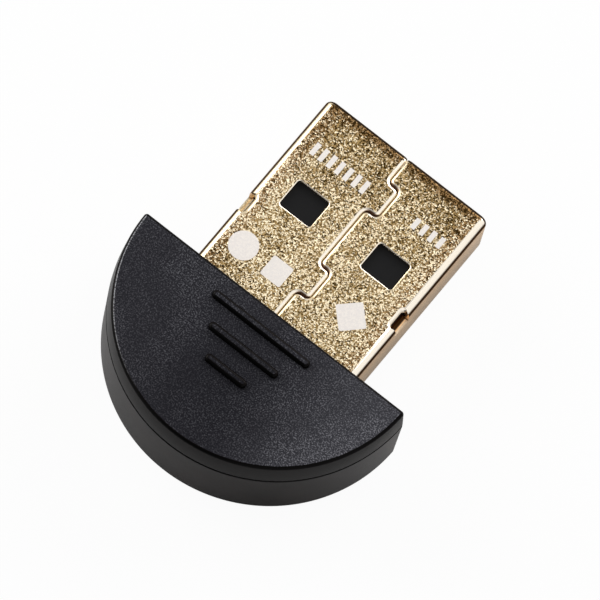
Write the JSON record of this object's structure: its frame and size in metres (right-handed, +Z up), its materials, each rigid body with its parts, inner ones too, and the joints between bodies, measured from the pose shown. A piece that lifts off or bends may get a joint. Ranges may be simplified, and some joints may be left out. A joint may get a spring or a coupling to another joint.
{
  "type": "usb bluetooth adapter",
  "caption": "Small wireless adapter: a half-moon black moulded housing with raised grip ribs, round a circuit board, and a folded gold-coloured sheet plug with an interlocking seam.",
  "frame": {"origin": "bottom centre of the whole adapter's box, on the plane of the housing's underside", "axes": "+Y along the plug towards its tip, +Z up through the face with the grip ribs and the plug's seam, +X across the plug"},
  "size_m": [0.0196, 0.0229, 0.0076],
  "materials": {
    "housing": "fine spark texture on the faces, satin wall",
    "plug_sheet": "champagne plating over a sandblasted sheet",
    "insulator": "satin moulded plastic",
    "contact_metal": "gold plated",
    "board": "green solder mask",
    "chip_resin": "matt moulding resin",
    "crystal": "nickel plated lid on a ceramic base",
    "antenna": "white ceramic with tinned ends",
    "capacitor": "tan ceramic with tinned ends",
    "resistor": "black glaze with tinned ends",
    "ferrite": "grey ferrite with tinned ends"
  },
  "bodies": {
    "root": {"lower_shell": "housing", "upper_shell": "housing", "plug_shell": "plug_sheet", "insulator": "insulator", "contact_power": "contact_metal", "contact_data_minus": "contact_metal", "contact_data_plus": "contact_metal", "contact_ground": "contact_metal", "circuit_board": "board", "radio_chip": "chip_resin", "memory_chip": "chip_resin", "clock_crystal": "crystal", "chip_antenna": "antenna", "voltage_regulator": "chip_resin", "capacitor_1": "capacitor", "capacitor_2": "capacitor", "capacitor_3": "capacitor", "capacitor_4": "capacitor", "capacitor_5": "capacitor", "capacitor_6": "capacitor", "resistor_1": "resistor", "resistor_2": "resistor", "resistor_3": "resistor", "inductor": "ferrite", "protection_diode": "chip_resin"}
  },
  "joints": []
}
